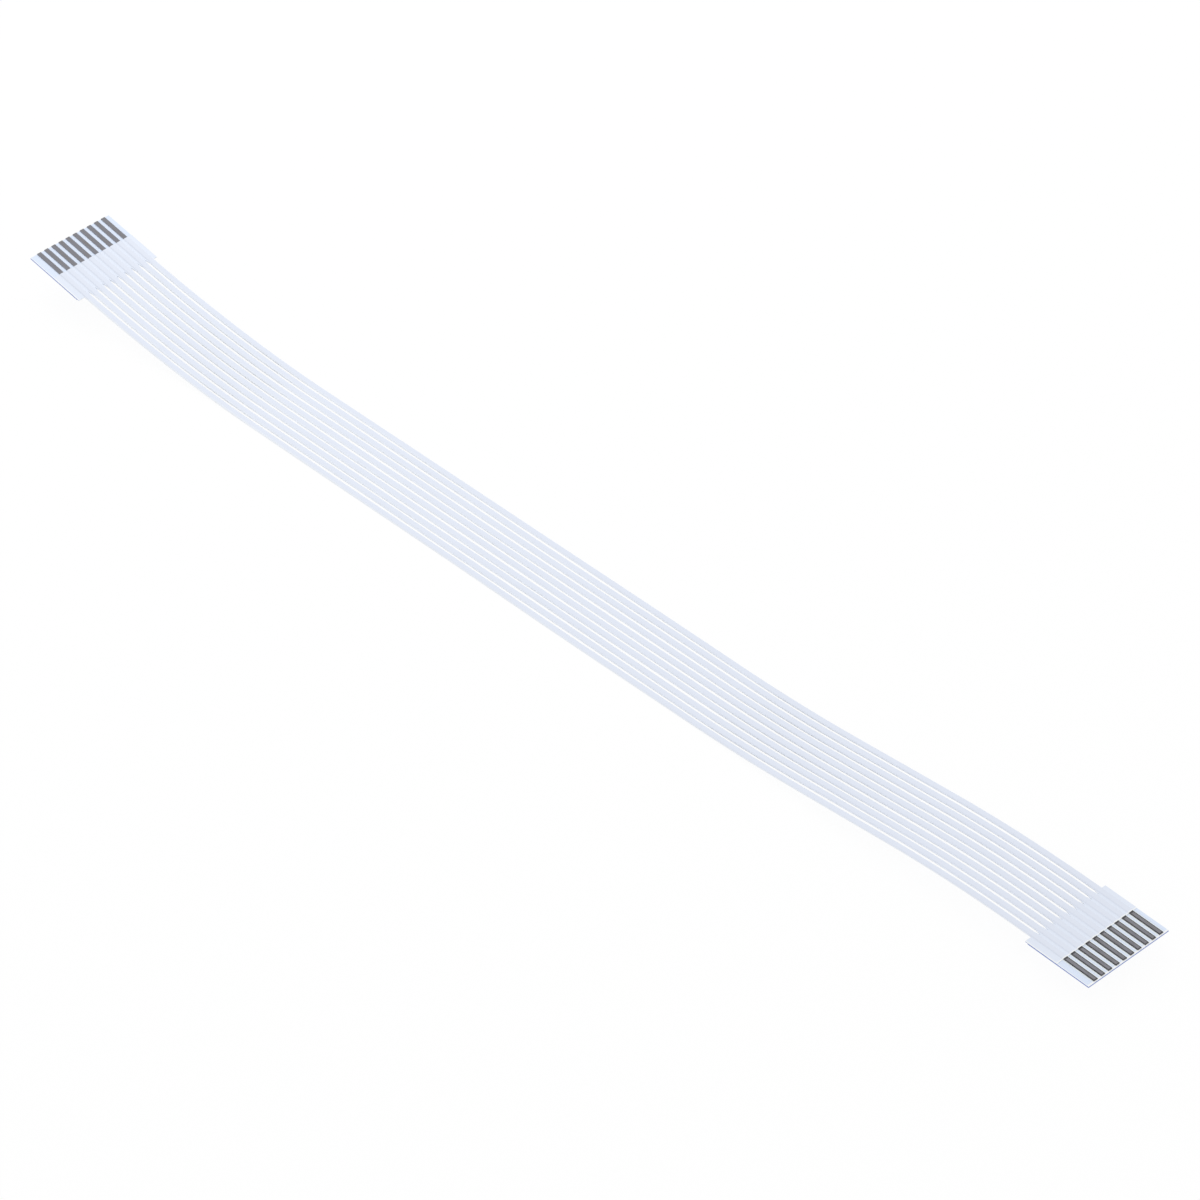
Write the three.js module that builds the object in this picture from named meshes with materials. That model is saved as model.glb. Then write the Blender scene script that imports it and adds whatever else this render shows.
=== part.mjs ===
// A flat flex cable: ten flat tinned copper conductors laminated between two polyester films.
// Each end is wide, has a stiffener bonded below it, and shows its contacts on the upper side.
// Between the ends the films are slit, so that the cable runs as ten separate strips.
// It lies free on a level surface, and its two ends curl up a little.
//
// Millimetres, +Z up. The cable runs along X, from its left end (-X) to its right end (+X),
// and conductor_01 is at the front (-Y).
import * as THREE from "three";

// Driving dimensions of the laminate.
const CONDUCTOR_COUNT = 10;
const PITCH = 1.25;
const CABLE_LENGTH = 200;
const CONDUCTOR_WIDTH = 0.66;
const CONDUCTOR_THICKNESS = 0.1;
const LOWER_FILM_THICKNESS = 0.07;
const UPPER_FILM_THICKNESS = 0.07;
const STIFFENER_THICKNESS = 0.12;
const BOND_LINE = 0.005;

// The upper film wraps each conductor, so a strip is a conductor, its play and a wall on each side.
const CONDUCTOR_SIDE_PLAY = 0.01;
const STRIP_SIDE_WALL = 0.1;

// The wide ends. The margins run from the outermost conductors' centres to the end's sides, and
// the stiffeners stop a little short of where the ends narrow.
const END_LENGTH = 10.4;
const STIFFENER_SETBACK = 0.4;
const EXPOSED_LENGTH = 5;
const FRONT_MARGIN = 1.45;
const BACK_MARGIN = 1.05;
const LEFT_CONTACT_SETBACK = 0;
const RIGHT_CONTACT_SETBACK = 0.2;

// The slits between the strips end in points that reach a little way into the wide ends.
const SLIT_INTO_END = 0.6;
const SLIT_POINT_LENGTH = 1;

// The shape that the cable lies in: slopes in degrees, and the lengths that they turn over.
const LEFT_END_SLOPE = -10.3;
const LEFT_CURL_LENGTH = 36.2;
const RISE_SLOPE = 4.7;
const RISE_CURVE_LENGTH = 20.5;
const RISE_LENGTH = 18;
const RIGHT_END_SLOPE = -2.4;
const RIGHT_CURL_LENGTH = 24.1;
const LONGEST_STEP = { straight: 21, curved: 6.2 };

const finishes = {
  lowerFilm: { color: 0xdfe4f2, roughness: 0.4, metalness: 0 },
  upperFilm: { color: 0xe4e9f6, roughness: 0.35, metalness: 0 },
  tinnedCopper: { color: 0x85868c, roughness: 0.4, metalness: 0.9 },
  stiffener: { color: 0xc3cfee, roughness: 0.45, metalness: 0 },
};

// Heights above the lower film's underside.
const conductorLow = LOWER_FILM_THICKNESS + BOND_LINE;
const conductorHigh = conductorLow + CONDUCTOR_THICKNESS;
const filmCell = {
  lower: [0, LOWER_FILM_THICKNESS],
  web: [conductorLow, conductorLow + UPPER_FILM_THICKNESS],
  wall: [conductorLow, conductorHigh + BOND_LINE + UPPER_FILM_THICKNESS],
  roof: [conductorHigh + BOND_LINE, conductorHigh + BOND_LINE + UPPER_FILM_THICKNESS],
};

const channelHalfWidth = CONDUCTOR_WIDTH / 2 + CONDUCTOR_SIDE_PLAY;
const stripHalfWidth = channelHalfWidth + STRIP_SIDE_WALL;
const slitHalfWidth = PITCH / 2 - stripHalfWidth;
const conductorY = (k) => (k - (CONDUCTOR_COUNT - 1) / 2) * PITCH;
const endFrontY = conductorY(0) - FRONT_MARGIN;
const endBackY = conductorY(CONDUCTOR_COUNT - 1) + BACK_MARGIN;
const stiffenerLength = END_LENGTH - STIFFENER_SETBACK;

// The run is a chain of straights and arcs. The flat middle takes the length that is left.
const shapedLength =
  2 * END_LENGTH + LEFT_CURL_LENGTH + RISE_CURVE_LENGTH + RISE_LENGTH + RIGHT_CURL_LENGTH;
const runs = [
  { length: END_LENGTH, turnTo: LEFT_END_SLOPE },
  { length: LEFT_CURL_LENGTH, turnTo: 0 },
  { length: CABLE_LENGTH - shapedLength, turnTo: 0 },
  { length: RISE_CURVE_LENGTH, turnTo: RISE_SLOPE },
  { length: RISE_LENGTH, turnTo: RISE_SLOPE },
  { length: RIGHT_CURL_LENGTH, turnTo: RIGHT_END_SLOPE },
  { length: END_LENGTH, turnTo: RIGHT_END_SLOPE },
];

/** The point and the slope at a distance along one run that starts from a given point. */
function alongRun(start, run, distance) {
  const bend = (run.slopeTo - start.slope) / run.length;
  const slope = start.slope + bend * distance;
  const middle = start.slope + (bend * distance) / 2;
  const half = (bend * distance) / 2;
  const chord = half === 0 ? distance : (distance * Math.sin(half)) / half;
  return { x: start.x + chord * Math.cos(middle), z: start.z + chord * Math.sin(middle), slope };
}

/** Gives each run its start, so that each begins where the last one ended. */
function chainRuns() {
  let start = { x: 0, z: 0, slope: THREE.MathUtils.degToRad(LEFT_END_SLOPE) };
  let from = 0;
  return runs.map((run) => {
    const placed = { ...run, from, start, slopeTo: THREE.MathUtils.degToRad(run.turnTo) };
    start = { ...alongRun(start, placed, run.length), slope: placed.slopeTo };
    from += run.length;
    return placed;
  });
}
const chain = chainRuns();
const floorZ = chain[2].start.z;

/** The lower film's underside at a distance s along the cable: x, z and slope. */
function undersideAt(s) {
  const run = chain.findLast((r) => s >= r.from) ?? chain[0];
  return alongRun(run.start, run, s - run.from);
}

/** The place of a point of the flat laminate once the cable lies in its shape. */
function bent(s, y, height) {
  const { x, z, slope } = undersideAt(s);
  return new THREE.Vector3(x - height * Math.sin(slope), y, z - floorZ + height * Math.cos(slope));
}

const slitTipAt = END_LENGTH - SLIT_INTO_END;
const slitFullAt = slitTipAt + SLIT_POINT_LENGTH;
const leftContactLine = LEFT_CONTACT_SETBACK + EXPOSED_LENGTH;
const rightContactLine = CABLE_LENGTH - RIGHT_CONTACT_SETBACK - EXPOSED_LENGTH;

// Places that are nearer to each other than this are the same place.
const nearest = 1e-6;

/** The distances at which every layer has a row of points, so that bent layers stay parallel. */
function stationList() {
  const list = [leftContactLine, rightContactLine];
  list.push(slitTipAt, slitFullAt, CABLE_LENGTH - slitFullAt, CABLE_LENGTH - slitTipAt);
  for (const run of chain) {
    const longest = run.slopeTo === run.start.slope ? LONGEST_STEP.straight : LONGEST_STEP.curved;
    const steps = Math.ceil(run.length / longest);
    for (let step = 0; step <= steps; step += 1) {
      list.push(run.from + (run.length * step) / steps);
    }
  }
  return list.sort((a, b) => a - b);
}
const stations = stationList();

/** The stations from one distance to another, with both of those among them. */
function stationsBetween(start, end) {
  const inside = stations.filter((s) => s > start + nearest && s < end - nearest);
  const apart = inside.filter((s, i) => i === 0 || s - inside[i - 1] > nearest);
  return [start, ...apart, end];
}

/** Half the slit's opening at a distance along the cable: a point at each end, and full between. */
function slitOpening(s) {
  const fromEnd = Math.min(s, CABLE_LENGTH - s);
  return slitHalfWidth * THREE.MathUtils.clamp((fromEnd - slitTipAt) / SLIT_POINT_LENGTH, 0, 1);
}

/** The part of one height range that another one leaves bare. */
function uncovered(range, cover) {
  if (!range) return [];
  if (!cover) return [range];
  const pieces = [
    [range[0], Math.min(range[1], cover[0])],
    [Math.max(range[0], cover[1]), range[1]],
  ];
  return pieces.filter(([low, high]) => high > low);
}

/**
 * A sheet made of cells between rows (distances along the cable) and lines (places across it).
 * lineY(s) lists the lines' places at a row, and cellAt(i, j) is the height range that is solid
 * between rows i and i + 1 and lines j and j + 1, or null. Lines may meet, as at a slit's point.
 */
function sheetGeometry(rows, lineY, cellAt) {
  const places = rows.map(lineY);
  const lineCount = places[0].length;
  const cell = (i, j) =>
    i < 0 || j < 0 || i >= rows.length - 1 || j >= lineCount - 1 ? null : cellAt(i, j);
  const corners = new Map();
  const points = [];
  const triangles = [];

  const digits = 6;
  const columnKey = (i, j) => `${i}|${places[i][j].toFixed(digits)}`;
  const levels = new Map();
  for (let i = 0; i < rows.length; i += 1) {
    for (let j = 0; j < lineCount; j += 1) {
      const key = columnKey(i, j);
      const found = levels.get(key) ?? new Set();
      const around = [cell(i - 1, j - 1), cell(i - 1, j), cell(i, j - 1), cell(i, j)];
      around.filter(Boolean).flat().forEach((height) => found.add(height));
      levels.set(key, found);
    }
  }
  const corner = (i, j, height) => {
    const key = `${columnKey(i, j)}|${height}`;
    if (!corners.has(key)) {
      corners.set(key, corners.size);
      points.push(...bent(rows[i], places[i][j], height).toArray());
    }
    return corners.get(key);
  };
  const triangle = (a, b, c) => {
    if (a !== b && b !== c && c !== a) triangles.push(a, b, c);
  };
  // The corners up one column, with each level at which a neighbour has an edge.
  const ladder = (i, j, [low, high]) =>
    [...levels.get(columnKey(i, j))]
      .filter((height) => height >= low && height <= high)
      .sort((a, b) => a - b)
      .map((height) => ({ height, id: corner(i, j, height) }));
  // A wall between two columns, which goes up the first one and down the second.
  const wall = (up, down) => {
    let p = 0;
    let q = 0;
    while (p < up.length - 1 || q < down.length - 1) {
      const nextUp = up[p + 1]?.height ?? Infinity;
      const nextDown = down[q + 1]?.height ?? Infinity;
      if (nextUp <= nextDown) {
        triangle(up[p].id, up[p + 1].id, down[q].id);
        p += 1;
      } else {
        triangle(up[p].id, down[q + 1].id, down[q].id);
        q += 1;
      }
    }
  };

  for (let i = 0; i < rows.length; i += 1) {
    for (let j = 0; j < lineCount; j += 1) {
      const here = cell(i, j);
      const before = cell(i, j - 1);
      const behind = cell(i - 1, j);
      if (here) {
        const [low, high] = here;
        for (const [height, first, last] of [[high, j, j + 1], [low, j + 1, j]]) {
          const around = [[i, first], [i + 1, first], [i + 1, last], [i, last]];
          const [a, b, c, d] = around.map(([row, line]) => corner(row, line, height));
          triangle(a, b, c);
          triangle(a, c, d);
        }
      }
      for (const range of uncovered(before, here)) wall(ladder(i, j, range), ladder(i + 1, j, range));
      for (const range of uncovered(here, before)) wall(ladder(i + 1, j, range), ladder(i, j, range));
      for (const range of uncovered(behind, here)) wall(ladder(i, j + 1, range), ladder(i, j, range));
      for (const range of uncovered(here, behind)) wall(ladder(i, j, range), ladder(i, j + 1, range));
    }
  }
  const geometry = new THREE.BufferGeometry();
  geometry.setAttribute("position", new THREE.Float32BufferAttribute(points, 3));
  geometry.setIndex(triangles);
  geometry.computeVertexNormals();
  return geometry;
}

/** The lower film: a flat sheet, wide at its ends, with the slits cut through it. */
function lowerFilmGeometry() {
  const rows = stationsBetween(0, CABLE_LENGTH);
  const lineY = (s) => {
    const places = [endFrontY, conductorY(0) - stripHalfWidth];
    for (let k = 1; k < CONDUCTOR_COUNT; k += 1) {
      const slitY = conductorY(k) - PITCH / 2;
      places.push(slitY - slitOpening(s), slitY + slitOpening(s));
    }
    return [...places, conductorY(CONDUCTOR_COUNT - 1) + stripHalfWidth, endBackY];
  };
  const lastLine = 2 * CONDUCTOR_COUNT;
  return sheetGeometry(rows, lineY, (i, j) => {
    const isMargin = j === 0 || j === lastLine;
    const isSlit = !isMargin && j % 2 === 0;
    if (isMargin && !isInEnd(rows, i)) return null;
    if (isSlit && isSlitOpen(rows, i)) return null;
    return filmCell.lower;
  });
}

/** Whether the slits are open anywhere between row i and the next. */
function isSlitOpen(rows, i) {
  return Math.max(slitOpening(rows[i]), slitOpening(rows[i + 1])) > nearest;
}

/** Whether the cells after row i are in one of the wide ends. */
function isInEnd(rows, i) {
  const middle = (rows[i] + rows[i + 1]) / 2;
  return Math.min(middle, CABLE_LENGTH - middle) < END_LENGTH;
}

/** The upper film: a cap over each conductor, and a web that joins the caps in the wide ends. */
function upperFilmGeometry() {
  const rows = stationsBetween(leftContactLine, rightContactLine);
  const capLines = [-stripHalfWidth, -channelHalfWidth, channelHalfWidth, stripHalfWidth];
  const capCells = ["wall", "roof", "wall"];
  const webCells = ["web", "slit", "web"];
  const lineY = (s) => {
    const places = [endFrontY];
    for (let k = 0; k < CONDUCTOR_COUNT; k += 1) {
      if (k > 0) {
        const slitY = conductorY(k) - PITCH / 2;
        places.push(slitY - slitOpening(s), slitY + slitOpening(s));
      }
      places.push(...capLines.map((y) => conductorY(k) + y));
    }
    return [...places, endBackY];
  };
  const perPitch = capCells.length + webCells.length;
  const lastCell = perPitch * CONDUCTOR_COUNT - webCells.length + 1;
  return sheetGeometry(rows, lineY, (i, j) => {
    if (j === 0 || j === lastCell) return isInEnd(rows, i) ? filmCell.web : null;
    const place = (j - 1) % perPitch;
    if (place < capCells.length) return filmCell[capCells[place]];
    const isSlit = webCells[place - capCells.length] === "slit";
    return isSlit && isSlitOpen(rows, i) ? null : filmCell.web;
  });
}

/** A flat wire along the cable: a box with one segment from each row to the next. */
function conductorGeometry(k) {
  const rows = stationsBetween(LEFT_CONTACT_SETBACK, CABLE_LENGTH - RIGHT_CONTACT_SETBACK);
  const steps = rows.length - 1;
  const geometry = new THREE.BoxGeometry(steps, CONDUCTOR_WIDTH, CONDUCTOR_THICKNESS, steps);
  geometry.translate(steps / 2, conductorY(k), conductorLow + CONDUCTOR_THICKNESS / 2);
  const position = geometry.getAttribute("position");
  for (let i = 0; i < position.count; i += 1) {
    const row = rows[Math.round(position.getX(i))];
    const place = bent(row, position.getY(i), position.getZ(i));
    position.setXYZ(i, place.x, place.y, place.z);
  }
  geometry.computeVertexNormals();
  return geometry;
}

function meshOf(name, geometry, finish) {
  const mesh = new THREE.Mesh(geometry, new THREE.MeshStandardMaterial(finish));
  mesh.name = name;
  return mesh;
}

/** A stiffener: a flat strip of thicker polyester, bonded under one wide end. */
function stiffener(name, middleAt) {
  const width = endBackY - endFrontY;
  const geometry = new THREE.BoxGeometry(stiffenerLength, width, STIFFENER_THICKNESS);
  const mesh = meshOf(name, geometry, finishes.stiffener);
  const depth = -BOND_LINE - STIFFENER_THICKNESS / 2;
  mesh.position.copy(bent(middleAt, (endFrontY + endBackY) / 2, depth));
  mesh.rotation.y = -undersideAt(middleAt).slope;
  return mesh;
}

const cable = new THREE.Group();
cable.add(meshOf("lower_film", lowerFilmGeometry(), finishes.lowerFilm));
cable.add(meshOf("upper_film", upperFilmGeometry(), finishes.upperFilm));
for (let k = 0; k < CONDUCTOR_COUNT; k += 1) {
  const name = `conductor_${String(k + 1).padStart(2, "0")}`;
  cable.add(meshOf(name, conductorGeometry(k), finishes.tinnedCopper));
}
cable.add(stiffener("stiffener_left", stiffenerLength / 2));
cable.add(stiffener("stiffener_right", CABLE_LENGTH - stiffenerLength / 2));

// The origin is on the surface that the cable lies on, at the middle of its length and width.
const extent = new THREE.Box3().setFromObject(cable, true);
const middle = extent.getCenter(new THREE.Vector3());
cable.position.set(-middle.x, -middle.y, 0);

export default cable;
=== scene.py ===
"""The looks of a ten-way flat flex cable: its films, wires and stiffeners, a floor and soft light."""
import math

import bmesh
import bpy
import numpy as np
from mathutils import Matrix, Vector


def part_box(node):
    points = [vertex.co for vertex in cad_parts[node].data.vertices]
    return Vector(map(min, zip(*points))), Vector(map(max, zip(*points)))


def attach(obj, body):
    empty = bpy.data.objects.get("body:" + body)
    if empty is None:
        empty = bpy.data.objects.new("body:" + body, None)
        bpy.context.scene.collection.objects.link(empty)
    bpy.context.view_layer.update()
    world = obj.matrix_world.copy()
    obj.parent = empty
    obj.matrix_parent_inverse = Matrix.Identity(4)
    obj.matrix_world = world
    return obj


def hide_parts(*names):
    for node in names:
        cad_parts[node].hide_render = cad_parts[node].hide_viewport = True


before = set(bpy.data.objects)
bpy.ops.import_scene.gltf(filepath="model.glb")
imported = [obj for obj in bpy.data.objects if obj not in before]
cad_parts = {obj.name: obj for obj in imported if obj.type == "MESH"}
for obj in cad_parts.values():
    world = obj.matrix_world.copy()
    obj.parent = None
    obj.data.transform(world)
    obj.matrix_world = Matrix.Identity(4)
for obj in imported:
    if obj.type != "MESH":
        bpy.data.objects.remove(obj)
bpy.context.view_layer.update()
mm = 0.001


# The camera looks down on the cable from its front right, from most of a metre away through a
# long lens, and is turned a little about its own axis, as the photograph's was.
camera_azimuth = math.radians(49.12)
camera_elevation = math.radians(39.99)
camera_roll = math.radians(-2.89)
camera_distance = 766.75 * mm
camera_aim = Vector((7.35, 0.13, 3.19)) * mm
lens_mm = 180.83
sensor_mm = 36.0
nearest_seen = 0.01
farthest_seen = 20.0

towards_camera = Vector((
    math.sin(camera_azimuth) * math.cos(camera_elevation),
    -math.cos(camera_azimuth) * math.cos(camera_elevation),
    math.sin(camera_elevation),
))
level_right = Vector((math.cos(camera_azimuth), math.sin(camera_azimuth), 0.0))
level_up = towards_camera.cross(level_right)
right = level_right * math.cos(camera_roll) + level_up * math.sin(camera_roll)
up = level_up * math.cos(camera_roll) - level_right * math.sin(camera_roll)

camera = bpy.data.objects.new("camera", bpy.data.cameras.new("camera"))
camera.data.sensor_width = sensor_mm
camera.data.lens = lens_mm
camera.data.clip_start = nearest_seen
camera.data.clip_end = farthest_seen
turn = Matrix((right, up, towards_camera)).transposed().to_4x4()
camera.matrix_world = Matrix.Translation(camera_aim + towards_camera * camera_distance) @ turn
bpy.context.scene.collection.objects.link(camera)
bpy.context.scene.camera = camera


# The lower film is a polyester sheet, punched wide at both ends and slit between the conductors.
# It carries the conductors, and it sets how the whole cable lies: flat on the surface in its
# middle, curling up to its left end, and rising and dipping again towards its right end.
cable_length = 200 * mm
end_length = 10.4 * mm
pitch = 1.25 * mm
conductor_count = 10
front_margin = 1.45 * mm
lower_film_thickness = 0.07 * mm
strip_half_width = 0.44 * mm
slit_into_end = 0.6 * mm
slit_point_length = 1.0 * mm
exposed_length = 5 * mm
right_contact_setback = 0.2 * mm
row_step = 1.0 * mm
point_row_step = 0.1 * mm
score_half_width = 0.07 * mm
score_depth = 0.02 * mm

left_end_slope = -10.3
rise_slope = 4.7
right_end_slope = -2.4
left_curl_length = 36.2 * mm
rise_curve_length = 20.5 * mm
rise_length = 18 * mm
right_curl_length = 24.1 * mm
shaped_length = 2 * end_length + left_curl_length + rise_curve_length + rise_length + right_curl_length
runs = (
    (end_length, left_end_slope),
    (left_curl_length, 0.0),
    (cable_length - shaped_length, 0.0),
    (rise_curve_length, rise_slope),
    (rise_length, rise_slope),
    (right_curl_length, right_end_slope),
    (end_length, right_end_slope),
)
flat_run = 2

film_low, film_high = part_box("lower_film")
left_tip_x = film_low.x
end_front_y, end_back_y = film_low.y, film_high.y
first_conductor_y = end_front_y + front_margin
conductor_y = first_conductor_y + pitch * np.arange(conductor_count)
slit_y = conductor_y[:-1] + pitch / 2
slit_half_width = pitch / 2 - strip_half_width
slit_tip_at = end_length - slit_into_end
bare_film_ends_at = cable_length - right_contact_setback - exposed_length


def arc_chord(start_slope, slope_change, share, length):
    """x and z covered along the first share of a run whose slope changes evenly."""
    half_turn = slope_change * share / 2
    chord = share * length * np.sinc(half_turn / math.pi)
    return chord * np.cos(start_slope + half_turn), chord * np.sin(start_slope + half_turn)


def underside(s):
    """x, z and slope of the lower film's underside at distances s along the cable."""
    s = np.asarray(s, float)
    x, z, slope = np.zeros_like(s), np.zeros_like(s), np.zeros_like(s)
    start_x, start_z, start_slope, start_s = left_tip_x, 0.0, math.radians(left_end_slope), 0.0
    flat_z = 0.0
    for number, (length, end_slope) in enumerate(runs):
        change = math.radians(end_slope) - start_slope
        if number == flat_run:
            flat_z = start_z
        share = (s - start_s) / length
        here = share >= 0
        along, rise = arc_chord(start_slope, change, share[here], length)
        x[here] = start_x + along
        z[here] = start_z + rise
        slope[here] = start_slope + change * share[here]
        along, rise = arc_chord(start_slope, change, 1.0, length)
        start_x, start_z, start_slope, start_s = (
            start_x + along, start_z + rise, start_slope + change, start_s + length)
    return x, z - flat_z, slope


# The free strips don't lie quite even: each one lifts and drifts by a hair along its length, in
# waves of its own, and the wide ends hold them level.
strip_lift = 0.05 * mm
strip_drift = 0.025 * mm
strip_wave_length = 46 * mm
drift_waves_per_lift_wave = 0.7
free_from_end = 16 * mm
rng = np.random.default_rng(10)
lift_phase = rng.uniform(0, 2 * math.pi, conductor_count)
drift_phase = rng.uniform(0, 2 * math.pi, conductor_count)
wave_share = rng.uniform(0.7, 1.3, conductor_count)


def laid(s, y, height):
    """Points of the flat laminate once the cable lies in its shape: an array with x, y and z last."""
    s, y, height = np.broadcast_arrays(s, y, height)
    strip = np.clip(np.rint((y - first_conductor_y) / pitch), 0, conductor_count - 1).astype(int)
    free = np.clip((np.minimum(s, cable_length - s) - end_length) / free_from_end, 0, 1)
    free = free * free * (3 - 2 * free)
    wave = 2 * math.pi * s / (strip_wave_length * wave_share[strip])
    lift = strip_lift * free * (0.5 + 0.5 * np.sin(wave + lift_phase[strip]))
    drift = strip_drift * free * np.sin(wave * drift_waves_per_lift_wave + drift_phase[strip])
    x, z, slope = underside(s)
    return np.stack([x - height * np.sin(slope), y + drift, z + lift + height * np.cos(slope)], -1)


def slit_opening(s):
    """Half the width of a slit at distances s: a point at each end, and full between them."""
    from_end = np.minimum(s, cable_length - s)
    return slit_half_width * np.clip((from_end - slit_tip_at) / slit_point_length, 0, 1)


nearest = 0.001 * mm
weld_distance = 0.0002 * mm
row_digits = 7
slit_side = 1
outer_side = 2


def rows_between(start, end):
    """Distances along the cable at which a piece has a row of points, finer at the slits' points."""
    near_point = np.arange(0, slit_point_length + point_row_step / 2, point_row_step) + slit_tip_at
    rows = np.concatenate([
        np.arange(0, cable_length, row_step),
        near_point,
        cable_length - near_point,
        [start, end],
    ])
    rows = np.unique(np.round(rows, row_digits))
    return rows[(rows >= start - nearest) & (rows <= end + nearest)]


def in_wide_end(rows):
    """Whether the cells from each row to the next are in one of the wide ends."""
    middle = (rows[1:] + rows[:-1]) / 2
    return np.minimum(middle, cable_length - middle) < end_length


def object_from(name, mesh_data, finishes):
    """An object with these materials, from a bmesh that is freed here. Flat faces keep sharp edges."""
    for edge in mesh_data.edges:
        edge.smooth = all(face.smooth for face in edge.link_faces)
    mesh = bpy.data.meshes.new(name)
    mesh_data.to_mesh(mesh)
    mesh_data.free()
    piece = bpy.data.objects.new(name, mesh)
    bpy.context.scene.collection.objects.link(piece)
    for finish in finishes:
        mesh.materials.append(finish.material)
    return piece


def film_piece(name, rows, lines, low, high, solid, finishes):
    """A closed sheet of cells between rows and lines, from its low heights to its high ones.

    lines, low and high have a row for each of rows, and solid says which cells are there. The
    finishes are for its faces, for the sides of its slits and strips, and for its outer sides.
    """
    on_outline = np.zeros(lines.shape, bool)
    on_outline[[0, -1]] = on_outline[:, [0, -1]] = True
    row_count, line_count = lines.shape
    under = laid(rows[:, None], lines, low)
    over = laid(rows[:, None], lines, high)
    data = bmesh.new()
    bottom = [[data.verts.new(under[i, j]) for j in range(line_count)] for i in range(row_count)]
    top = [[data.verts.new(over[i, j]) for j in range(line_count)] for i in range(row_count)]
    filled = np.pad(solid, 1)
    for i in range(row_count):
        for j in range(line_count):
            here = filled[i + 1, j + 1]
            if here:
                corners = ((i, j), (i + 1, j), (i + 1, j + 1), (i, j + 1))
                data.faces.new([top[a][b] for a, b in corners]).smooth = True
                data.faces.new([bottom[a][b] for a, b in reversed(corners)]).smooth = True
            sides = []
            if here != filled[i + 1, j]:
                sides.append(((i, j), (i + 1, j), here))
            if here != filled[i, j + 1]:
                sides.append(((i, j + 1), (i, j), here))
            for first, second, outward in sides:
                if not outward:
                    first, second = second, first
                (a, b), (c, d) = first, second
                face = data.faces.new([bottom[a][b], bottom[c][d], top[c][d], top[a][b]])
                face.material_index = outer_side if on_outline[a, b] and on_outline[c, d] else slit_side
    bmesh.ops.remove_doubles(data, verts=data.verts, dist=weld_distance)
    loose = [v for v in data.verts if not v.link_faces]
    bmesh.ops.delete(data, geom=loose, context="VERTS")
    return object_from(name, data, finishes)


class Signal:
    """A value that varies over a surface. Arithmetic on it adds Math nodes to its material."""

    def __init__(self, finish, socket):
        self.finish = finish
        self.socket = socket

    def math(self, operation, *operands):
        return self.finish.node("ShaderNodeMath", {"operation": operation}, dict(enumerate(operands)))

    def __add__(self, other):
        return self.math("ADD", self, other)

    def __sub__(self, other):
        return self.math("SUBTRACT", self, other)

    def __rsub__(self, other):
        return self.math("SUBTRACT", other, self)

    def __mul__(self, other):
        return self.math("MULTIPLY", self, other)

    def __truediv__(self, other):
        return self.math("DIVIDE", self, other)

    def __abs__(self):
        return self.math("ABSOLUTE", self)

    __radd__ = __add__
    __rmul__ = __mul__

    def larger(self, other):
        return self.math("MAXIMUM", self, other)

    def wrapped(self, spacing):
        """How far this value is past the last multiple of spacing."""
        return self.math("FLOORED_MODULO", self, spacing)

    def to_nearest(self, spacing):
        """How far this value is from the nearest multiple of spacing, below or above."""
        return self.math("PINGPONG", self, spacing / 2)

    def rise(self, start, end):
        """0 before start, 1 after end, and a smooth step between. start may be the larger one."""
        ends = {"Value": self, "From Min": start, "From Max": end}
        return self.finish.node("ShaderNodeMapRange", {"interpolation_type": "SMOOTHSTEP"}, ends)


class Finish:
    """One procedural material, built node by node in front of its Principled shader."""

    def __init__(self, name, constants):
        self.material = bpy.data.materials.new(name)
        self.material.use_nodes = True
        self.tree = self.material.node_tree
        self.tree.nodes.clear()
        self.shader = self.tree.nodes.new("ShaderNodeBsdfPrincipled")
        self.output = self.tree.nodes.new("ShaderNodeOutputMaterial")
        self.tree.links.new(self.shader.outputs[0], self.output.inputs["Surface"])
        for socket, value in constants.items():
            self.shader.inputs[socket].default_value = value

    def node(self, kind, settings=None, inputs=None, output=0):
        made = self.tree.nodes.new(kind)
        for setting, value in (settings or {}).items():
            setattr(made, setting, value)
        for socket, value in (inputs or {}).items():
            if isinstance(value, Signal):
                self.tree.links.new(value.socket, made.inputs[socket])
            else:
                made.inputs[socket].default_value = value
        return Signal(self, made.outputs[output])

    def place(self):
        """The place on the cable: its x, y and z as one vector, in metres."""
        return self.node("ShaderNodeTexCoord", output="Object")

    def along(self, axis):
        """The place along X, along the cable, or along Y, across it."""
        return self.node("ShaderNodeSeparateXYZ", {}, {0: self.place()}, axis)

    def noise(self, grain, detail=2.0):
        """Noise from 0 to 1, with grains of these sizes along x, y and z, in metres."""
        stretch = {0: self.place(), 1: tuple(1 / size for size in grain)}
        vector = self.node("ShaderNodeVectorMath", {"operation": "MULTIPLY"}, stretch)
        return self.node("ShaderNodeTexNoise", {}, {"Vector": vector, "Scale": 1.0, "Detail": detail})

    def mix(self, mask, first, second):
        inputs = {0: mask, 6: first, 7: second}
        return self.node("ShaderNodeMix", {"data_type": "RGBA"}, inputs, 2)

    def shade(self, colour, amount):
        """A plain or varying colour, made lighter or darker by a varying amount."""
        inputs = {0: colour if isinstance(colour, Signal) else colour[:3], "Scale": amount}
        return self.node("ShaderNodeVectorMath", {"operation": "SCALE"}, inputs)

    def feed(self, socket, signal):
        self.tree.links.new(signal.socket, self.shader.inputs[socket])

    def bump(self, height, distance, strength=1.0):
        inputs = {"Height": height, "Distance": distance, "Strength": strength}
        self.feed("Normal", self.node("ShaderNodeBump", {}, inputs))


def screen_colour(red, green, blue):
    """The colour that shows as these 0 to 255 values, as the numbers that a shader takes."""
    shares = (value / 255 for value in (red, green, blue))
    linear = (c / 12.92 if c <= 0.04045 else ((c + 0.055) / 1.055) ** 2.4 for c in shares)
    return (*linear, 1.0)


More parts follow.
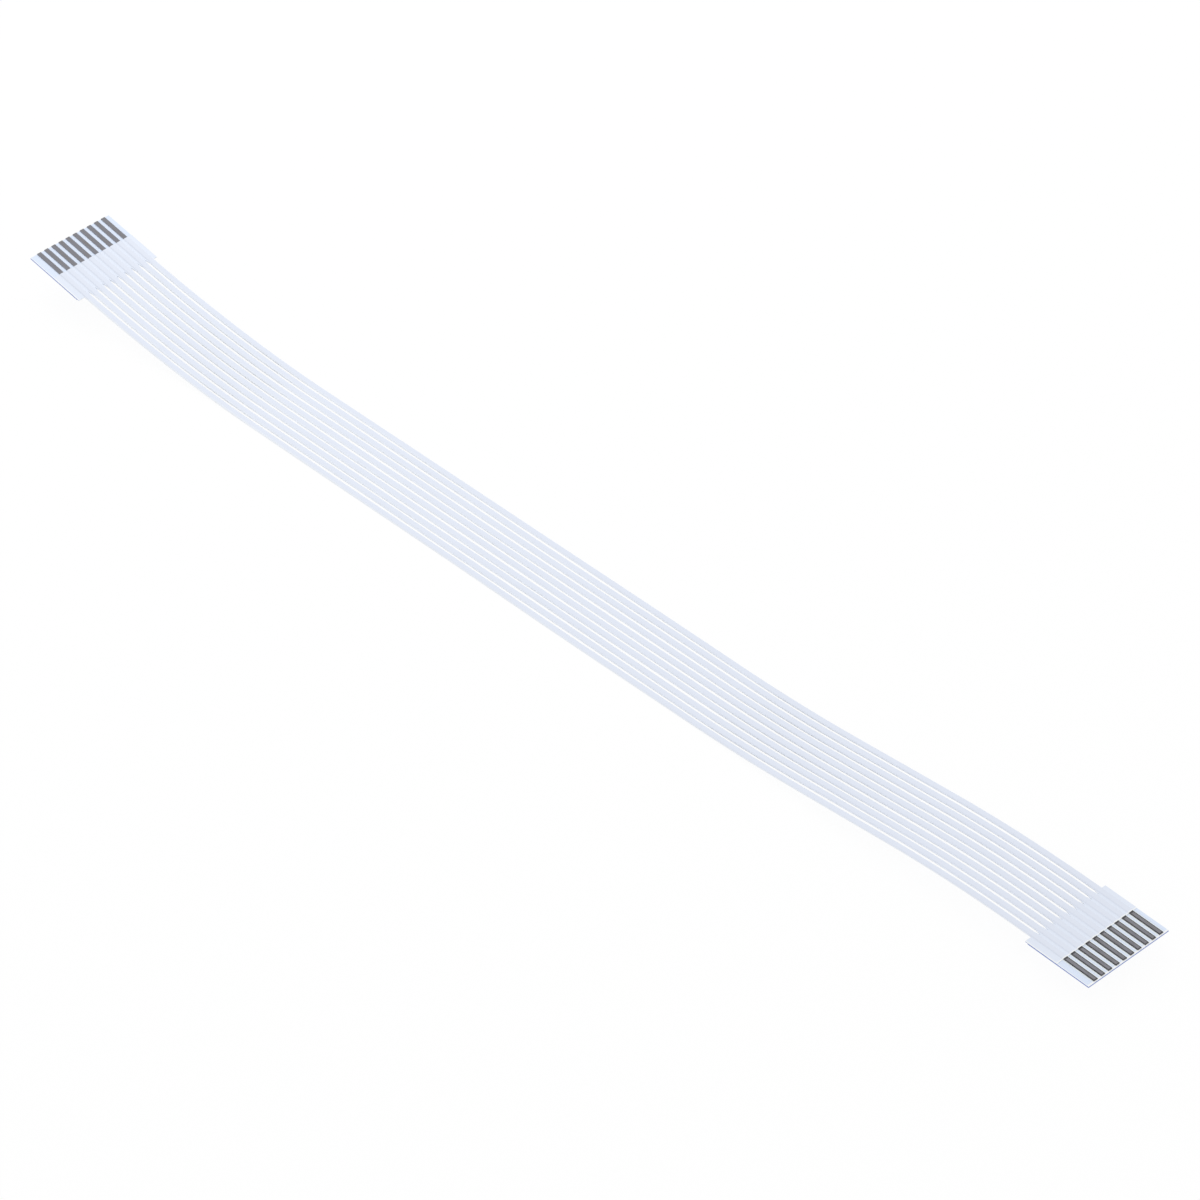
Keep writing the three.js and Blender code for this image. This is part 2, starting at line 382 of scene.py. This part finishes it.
film_fleck_grain = (0.35 * mm, 0.35 * mm, 0.35 * mm)
film_mottle_grain = (9 * mm, 2.5 * mm, 4 * mm)
film_draw_grain = (14 * mm, 0.09 * mm, 0.5 * mm)
film_darkest = 0.972
mottle_share = 0.026
draw_share = 0.016
fleck_share = 0.012
gloss_play = 0.06
film_relief = 0.004 * mm
draw_relief_share = 0.6


def film_texture(finish, colour, roughness):
    """Calendered polyester: faint mottling, fine lines along the web and a grain in its gloss."""
    mottle = finish.noise(film_mottle_grain)
    draw = finish.noise(film_draw_grain, 3.0)
    fleck = finish.noise(film_fleck_grain, 3.0)
    lightness = film_darkest + mottle * mottle_share + draw * draw_share + fleck * fleck_share
    finish.feed("Base Color", finish.shade(colour, lightness))
    finish.feed("Roughness", roughness - gloss_play + mottle * gloss_play + fleck * gloss_play)
    finish.bump(draw * draw_relief_share + fleck * (1 - draw_relief_share), film_relief)


bare_film_colour = screen_colour(226, 237, 255)
# Painted highlight: a near-white colour for the films' cut rims, where light catches them.
rim_highlight_colour = screen_colour(252, 254, 255)
beside_contact_colour = screen_colour(244, 252, 255)
# Painted shade: a darker colour for the shallow score between the bare contacts.
score_groove_shade_colour = screen_colour(218, 230, 252)
rim_width = 0.14 * mm
rim_full_width = 0.07 * mm
end_rim_width = 0.308 * mm
end_rim_full_width = 0.224 * mm
score_shade_half_width = 0.1 * mm
contact_side_from_score = 0.16 * mm
score_floor_half_width = 0.014 * mm
contact_field_half_width = 4.9 * pitch
contact_field_fade = 0.1 * pitch
right_marks_fade = 2 * mm
lower_film_roughness = 0.4

lower_film_finish = Finish("lower_film", {"Specular IOR Level": 0.4, "IOR": 1.5})
x = lower_film_finish.along("X")
y = lower_film_finish.along("Y")
right_end_x = float(underside(cable_length - end_length)[0])
at_right = x.rise(right_end_x, right_end_x + right_marks_fade)
from_score = abs(y - float(slit_y[0])).to_nearest(pitch)
from_middle = abs(y - float(conductor_y.mean()))
among_contacts = from_middle.rise(contact_field_half_width + contact_field_fade, contact_field_half_width)
beside_contact = from_score.rise(score_shade_half_width, contact_side_from_score) * at_right * among_contacts
# Painted shade along the score between the bare contacts at the right end.
score_groove_shade = from_score.rise(score_half_width, score_floor_half_width) * at_right
# Painted highlight along the lower film's front rim and along its rim at the right end.
front_rim_highlight = y.rise(end_front_y + rim_width, end_front_y + rim_full_width)
end_rim_highlight = x.rise(film_high.x - end_rim_width, film_high.x - end_rim_full_width)
tint = lower_film_finish.mix(beside_contact, bare_film_colour, beside_contact_colour)
tint = lower_film_finish.mix(score_groove_shade, tint, score_groove_shade_colour)
tint = lower_film_finish.mix(front_rim_highlight.larger(end_rim_highlight), tint, rim_highlight_colour)
film_texture(lower_film_finish, tint, lower_film_roughness)

end_edge_colour = screen_colour(132, 150, 208)
# Painted light: the sides of the slits and strips are painted near white, against the shade in the narrow
# slits.
slit_edge_painted_light_colour = screen_colour(247, 250, 255)
# Painted highlight: the upper film's outer cut sides are painted near white.
cap_edge_highlight_colour = screen_colour(250, 253, 255)
edge_grain = (0.6 * mm, 0.6 * mm, 0.03 * mm)
edge_darkest = 0.94
edge_shade_play = 0.12
edge_smoothest = 0.45
edge_roughness_play = 0.2


def cut_edge(name, colour):
    """The cut side of a film, with the fine grain that the blade leaves along it."""
    finish = Finish(name, {"Specular IOR Level": 0.3})
    grain = finish.noise(edge_grain, 3.0)
    finish.feed("Base Color", finish.shade(colour, edge_darkest + grain * edge_shade_play))
    finish.feed("Roughness", edge_smoothest + grain * edge_roughness_play)
    return finish


slit_edge_painted_light_finish = cut_edge("slit_edge_painted_light", slit_edge_painted_light_colour)
end_edge_finish = cut_edge("end_edge", end_edge_colour)
cap_edge_highlight_finish = cut_edge("cap_edge_highlight", cap_edge_highlight_colour)


def lower_film():
    rows = rows_between(0.0, cable_length)
    opening = slit_opening(rows)
    bare_right = (rows > bare_film_ends_at) & (opening == 0)
    score_rim = np.maximum(opening, score_half_width)
    lines = [np.full_like(rows, end_front_y), np.full_like(rows, conductor_y[0] - strip_half_width)]
    scored = [False, False]
    for middle in slit_y:
        lines += [middle - score_rim, middle - opening, middle + opening, middle + score_rim]
        scored += [False, True, True, False]
    lines += [np.full_like(rows, conductor_y[-1] + strip_half_width), np.full_like(rows, end_back_y)]
    scored += [False, False]
    lines = np.stack(lines, 1)
    dip = np.outer(bare_right, scored) * score_depth
    ends = in_wide_end(rows)
    solid = np.ones((len(rows) - 1, lines.shape[1] - 1), bool)
    solid[:, 0] = solid[:, -1] = ends
    open_rows = (opening[1:] > 0) | (opening[:-1] > 0)
    for k in range(len(slit_y)):
        solid[open_rows, 4 * k + 3] = False
    low = np.zeros_like(lines)
    finishes = (lower_film_finish, slit_edge_painted_light_finish, end_edge_finish)
    return film_piece("slit_lower_film", rows, lines, low, lower_film_thickness - dip, solid, finishes)


lower_film_piece = lower_film()
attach(lower_film_piece, "root")
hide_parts("lower_film")


# The upper film is a second sheet, pressed down over the conductors while hot, so that it
# stands up over each one and dips between them, where its adhesive closes it on to the lower
# film. It is cut back to leave the contacts bare.
upper_film_thickness = 0.07 * mm
conductor_thickness = 0.1 * mm
bond_line = 0.005 * mm
channel_half_width = 0.35 * mm
shoulder_start = 0.3 * mm
shoulder_end = 0.47 * mm
half_profile = np.array([0.16, 0.3, 0.345, 0.355, 0.4, 0.44]) * mm
profile_offsets = np.concatenate([-half_profile[::-1], [0.0], half_profile])
conductor_low = lower_film_thickness + bond_line
conductor_high = conductor_low + conductor_thickness
upper_film_starts_at = exposed_length
upper_film_ends_at = bare_film_ends_at


def emboss_high(offset):
    """Height of the upper film's outside at an offset from a conductor's centre."""
    crown = conductor_high + bond_line + upper_film_thickness
    foot = conductor_low + upper_film_thickness
    share = np.clip((np.abs(offset) - shoulder_start) / (shoulder_end - shoulder_start), 0, 1)
    return crown + (foot - crown) * share * share * (3 - 2 * share)


def emboss_low(offset):
    """Height of its inside: over the conductor, or down on the lower film beside it."""
    return np.where(np.abs(offset) < channel_half_width, conductor_high + bond_line, lower_film_thickness)


strip_colour = screen_colour(228, 234, 247)
web_colour = screen_colour(232, 239, 252)
# Painted light: a lighter colour for the strips' front flanks, against the shade that falls on them.
flank_painted_light_colour = screen_colour(243, 248, 255)
strip_tint_half_width = 0.36 * mm
web_tint_from_wire = 0.46 * mm
wires_half_width = conductor_count / 2 * pitch
wires_fade = 0.2 * pitch
flank_from_wire = 0.27 * mm
flank_full_from_wire = 0.34 * mm
flank_side_fade = 0.1 * pitch
flank_share_right = 0.1
flank_share_gained_to_left = 0.75
ear_fade = 1 * mm
cut_rim_width = 0.155 * mm
cut_rim_full_width = 0.095 * mm
upper_film_roughness = 0.36

upper_film_finish = Finish("upper_film", {"Specular IOR Level": 0.45, "IOR": 1.5})
x = upper_film_finish.along("X")
y = upper_film_finish.along("Y")
from_wire = abs(y - float(conductor_y[0])).to_nearest(pitch)
beyond_wires = abs(y - float(conductor_y.mean())).rise(wires_half_width - wires_fade, wires_half_width)
over_wire = from_wire.rise(web_tint_from_wire, strip_tint_half_width) * (1 - beyond_wires)
ears_x = float(film_high.x) - end_length
in_body = abs(x).rise(ears_x, ears_x - ear_fade)
# Painted light on each strip's front flank in the body, strongest towards the left end.
flank_light_left_share = x.rise(ears_x, -ears_x) * flank_share_gained_to_left + flank_share_right
across_strip = (y - float(conductor_y[0] - pitch / 2)).wrapped(pitch)
front_side = across_strip.rise(pitch / 2, pitch / 2 - flank_side_fade)
front_flank_painted_light = from_wire.rise(flank_from_wire, flank_full_from_wire) * front_side
upper_film_end_x = float(underside(upper_film_ends_at)[0])
# Painted highlight along the upper film's cut over the contacts and along its front rim.
cut_rim_highlight = x.rise(upper_film_end_x - cut_rim_width, upper_film_end_x - cut_rim_full_width)
front_rim_highlight = y.rise(end_front_y + rim_width, end_front_y + rim_full_width)
tint = upper_film_finish.mix(over_wire, web_colour, strip_colour)
tint = upper_film_finish.mix(front_flank_painted_light * in_body * flank_light_left_share, tint, flank_painted_light_colour)
tint = upper_film_finish.mix(front_rim_highlight.larger(cut_rim_highlight), tint, rim_highlight_colour)
film_texture(upper_film_finish, tint, upper_film_roughness)


def upper_film():
    rows = rows_between(upper_film_starts_at, upper_film_ends_at)
    opening = slit_opening(rows)
    same = np.ones_like(rows)
    lines, strips = [same * end_front_y, same * (conductor_y[0] - shoulder_end)], [0, 0]
    slit_columns = []
    for k, centre in enumerate(conductor_y):
        if k > 0:
            middle = slit_y[k - 1]
            before = np.minimum(conductor_y[k - 1] + shoulder_end, middle - opening)
            after = np.maximum(centre - shoulder_end, middle + opening)
            slit_columns.append(len(lines) + 1)
            lines += [before, middle - opening, middle + opening, after]
            strips += [k - 1, k - 1, k, k]
        lines += [same * (centre + offset) for offset in profile_offsets]
        strips += [k] * len(profile_offsets)
    lines += [same * (conductor_y[-1] + shoulder_end), same * end_back_y]
    strips += [conductor_count - 1] * 2
    lines = np.stack(lines, 1)
    offset = lines - conductor_y[np.array(strips)]
    ends = in_wide_end(rows)
    solid = np.ones((len(rows) - 1, lines.shape[1] - 1), bool)
    solid[:, :2] = solid[:, -2:] = ends[:, None]
    open_rows = (opening[1:] > 0) | (opening[:-1] > 0)
    fully_open = (opening[1:] >= slit_half_width) & (opening[:-1] >= slit_half_width)
    for column in slit_columns:
        solid[open_rows, column] = False
        for beside in (column - 2, column - 1, column + 1, column + 2):
            solid[fully_open, beside] = False
    finishes = (upper_film_finish, slit_edge_painted_light_finish, cap_edge_highlight_finish)
    low, high = emboss_low(offset), emboss_high(offset)
    return film_piece("embossed_upper_film", rows, lines, low, high, solid, finishes)


upper_film_piece = upper_film()
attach(upper_film_piece, "root")
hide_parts("upper_film")


# The conductors are copper wires, rolled flat and tin plated. Their bare ends are the contacts:
# grey, with fine lines along them from the rolling; on the right end, painted shade where their sides round
# over.
conductor_width = 0.66 * mm
wire_edge_radius = 0.03 * mm
wire_corner_steps = 4
contact_colour = screen_colour(150, 150, 158)
# The colour of the contacts' painted shade.
contact_shade_colour = screen_colour(92, 91, 94)
contact_warm = screen_colour(146, 141, 135)

rolled_grain = (5 * mm, 0.035 * mm, 0.5 * mm)
drawn_grain = (2.2 * mm, 0.11 * mm, 0.5 * mm)
handled_grain = (0.9 * mm, 0.4 * mm, 0.5 * mm)
round_side_from_centre = 0.14 * mm
round_side_full_from_centre = 0.27 * mm
film_shade_width = 0.35 * mm
film_shade_full_width = 0.15 * mm
tip_shade_width = 0.17 * mm
tip_shade_full_width = 0.05 * mm
warm_share = 0.7
warm_starts = 0.45
warm_full = 0.7
rolled_streak = 0.3
rolled_streak_more_at_right = 0.5
handled_streak = 0.2
handled_streak_more_at_right = 0.3
# Painted shade: the right-end contacts are painted a little darker.
right_painted_shade = 0.07
contact_smoothest = 0.3
rolled_roughness = 0.14
handled_roughness = 0.1
contact_relief = 0.006 * mm
rolled_relief_share = 0.7
middle_fade = 1 * mm

contact_finish = Finish("tinned_copper", {"Metallic": 1.0})
x = contact_finish.along("X")
y = contact_finish.along("Y")
from_centre = abs(y - float(conductor_y[0])).to_nearest(pitch)
rolled = contact_finish.noise(rolled_grain, 3.0)
drawn = contact_finish.noise(drawn_grain)
handled = contact_finish.noise(handled_grain, 3.0)
right_half = x.rise(0.0, middle_fade)
wire_end_x = float(underside(cable_length - right_contact_setback)[0])
# Painted shade on the right contacts: along their rounded sides, a painted shadow beside the upper film's
# cut, and at their cut tips.
round_side_shade = from_centre.rise(round_side_from_centre, round_side_full_from_centre)
film_cut_shadow = x.rise(upper_film_end_x + film_shade_width, upper_film_end_x + film_shade_full_width)
painted_tip_shade = x.rise(wire_end_x - tip_shade_width, wire_end_x - tip_shade_full_width)
contact_painted_shade = round_side_shade.larger(film_cut_shadow).larger(painted_tip_shade) * right_half
tint = contact_finish.mix(drawn.rise(warm_starts, warm_full) * warm_share, contact_colour, contact_warm)
tint = contact_finish.mix(contact_painted_shade, tint, contact_shade_colour)
rolled_streaks = (rolled - 0.5) * (rolled_streak + right_half * rolled_streak_more_at_right)
handled_streaks = (handled - 0.5) * (handled_streak + right_half * handled_streak_more_at_right)
lightness = 1 + rolled_streaks + handled_streaks - right_half * right_painted_shade
contact_finish.feed("Base Color", contact_finish.shade(tint, lightness))
contact_finish.feed("Roughness", contact_smoothest + rolled * rolled_roughness + handled * handled_roughness)
contact_finish.bump(rolled * rolled_relief_share + drawn * (1 - rolled_relief_share), contact_relief)


def wire_profile():
    """The outline of a flat wire across its length: y and height, round at its four corners."""
    points = []
    half_width = conductor_width / 2 - wire_edge_radius
    half_height = conductor_thickness / 2 - wire_edge_radius
    for quarter, (side, level) in enumerate(((1, 1), (-1, 1), (-1, -1), (1, -1))):
        for step in range(wire_corner_steps + 1):
            angle = (quarter + step / wire_corner_steps) * math.pi / 2
            points.append((
                side * half_width + wire_edge_radius * math.cos(angle),
                level * half_height + wire_edge_radius * math.sin(angle),
            ))
    return points


def flat_wire(name, centre):
    """One conductor from end to end, with flat ends where the cable was cut."""
    rows = rows_between(0.0, cable_length - right_contact_setback)
    profile = np.array(wire_profile())
    middle_height = conductor_low + conductor_thickness / 2
    places = laid(rows[:, None], centre + profile[None, :, 0], middle_height + profile[None, :, 1])
    data = bmesh.new()
    rings = [[data.verts.new(point) for point in ring] for ring in places]
    sides = len(profile)
    for ring, following in zip(rings, rings[1:]):
        for k in range(sides):
            after = (k + 1) % sides
            data.faces.new((ring[k], following[k], following[after], ring[after])).smooth = True
    data.faces.new(rings[0])
    data.faces.new(rings[-1][::-1])
    bmesh.ops.recalc_face_normals(data, faces=data.faces)
    return object_from(name, data, (contact_finish,))


for k, centre in enumerate(conductor_y):
    wire = flat_wire(f"contact_wire_{k + 1:02d}", centre)
    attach(wire, "root")
    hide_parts(f"conductor_{k + 1:02d}")


# A stiffener is a strip of thicker pale blue polyester, glued below each wide end and punched
# out together with it, so that its sides are flush with the films'.
stiffener_length = 10 * mm
stiffener_thickness = 0.12 * mm
stiffener_face_colour = screen_colour(208, 219, 246)
stiffener_roughness = 0.42
stiffener_line_count = 12
stiffener_finish = Finish("stiffener", {"Specular IOR Level": 0.4})
film_texture(stiffener_finish, stiffener_face_colour, stiffener_roughness)


def stiffener(name, start, end):
    rows = rows_between(start, end)
    lines = np.linspace(end_front_y, end_back_y, stiffener_line_count) * np.ones((len(rows), 1))
    low = np.full_like(lines, -bond_line - stiffener_thickness)
    high = np.zeros_like(lines)
    solid = np.ones((len(rows) - 1, lines.shape[1] - 1), bool)
    finishes = (stiffener_finish, end_edge_finish, end_edge_finish)
    return film_piece(name, rows, lines, low, high, solid, finishes)


for side, start in (("left", 0.0), ("right", cable_length - stiffener_length)):
    tape = stiffener(f"stiffener_tape_{side}", start, start + stiffener_length)
    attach(tape, "root")
    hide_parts(f"stiffener_{side}")


# The whole laminate is one loose flat cable, 200 mm from tip to tip, whose far end is bare.
route_steps = 40
route_s = np.linspace(0.0, cable_length, route_steps + 1)
route_x, route_z, _ = underside(route_s)
route = [(x, 0.0, z + lower_film_thickness / 2) for x, z in zip(route_x.tolist(), route_z.tolist())]


# The cable lies on a plain white table. What the camera sees of the table is mostly its own
# white, as on a lit table, with a little of the shadow; it throws no such light on the cable.
floor_half_size = 3.0
floor_below_cable = 0.01 * mm
table_white = (1.0, 1.0, 1.0, 1.0)
own_white_share = 0.95

floor_mesh = bpy.data.meshes.new("table")
corner_sides = ((-1, -1), (1, -1), (1, 1), (-1, 1))
corners = [(across * floor_half_size, along * floor_half_size, 0.0) for across, along in corner_sides]
floor_mesh.from_pydata(corners, [], [(0, 1, 2, 3)])
floor = bpy.data.objects.new("table", floor_mesh)
floor.location.z = -floor_below_cable
bpy.context.scene.collection.objects.link(floor)

table_finish = Finish("table", {"Base Color": table_white, "Roughness": 0.9, "Specular IOR Level": 0.0})
by_camera = table_finish.node("ShaderNodeLightPath", output="Is Camera Ray")
by_gloss = table_finish.node("ShaderNodeLightPath", output="Is Glossy Ray")
by_glass = table_finish.node("ShaderNodeLightPath", output="Is Transmission Ray")
looked_at = by_camera.larger(by_gloss).larger(by_glass)
own_white = table_finish.node("ShaderNodeEmission", {}, {"Color": table_white, "Strength": 1.0})
lit_table = Signal(table_finish, table_finish.shader.outputs[0])
table_parts = {0: looked_at * own_white_share, 1: lit_table, 2: own_white}
table_look = table_finish.node("ShaderNodeMixShader", {}, table_parts)
table_finish.tree.links.new(table_look.socket, table_finish.output.inputs["Surface"])
floor_mesh.materials.append(table_finish.material)

# Soft studio light: an even white room, and one soft lamp above and behind the cable's left end,
# so that the right end is a little darker. The lamp doesn't show in the contacts.
room_strength = 0.83
lamp_size = 0.35
lamp_power = 0.55
lamp_place = Vector((-0.28, 0.16, 0.32))

world = bpy.data.worlds.new("room")
world.use_nodes = True
bpy.context.scene.world = world
room = world.node_tree.nodes["Background"]
path = world.node_tree.nodes.new("ShaderNodeLightPath")
brighter = world.node_tree.nodes.new("ShaderNodeMapRange")
brighter.inputs["To Min"].default_value = room_strength
brighter.inputs["To Max"].default_value = 1.0
world.node_tree.links.new(path.outputs["Is Camera Ray"], brighter.inputs["Value"])
world.node_tree.links.new(brighter.outputs[0], room.inputs["Strength"])
room.inputs["Color"].default_value = (1.0, 1.0, 1.0, 1.0)

lamp = bpy.data.objects.new("lamp", bpy.data.lights.new("lamp", "AREA"))
lamp.data.size = lamp_size
lamp.data.energy = lamp_power
lamp.visible_glossy = False
lamp.location = lamp_place
lamp.rotation_euler = (-lamp_place).to_track_quat("-Z", "Y").to_euler()
bpy.context.scene.collection.objects.link(lamp)
bpy.context.scene.view_settings.view_transform = "Standard"
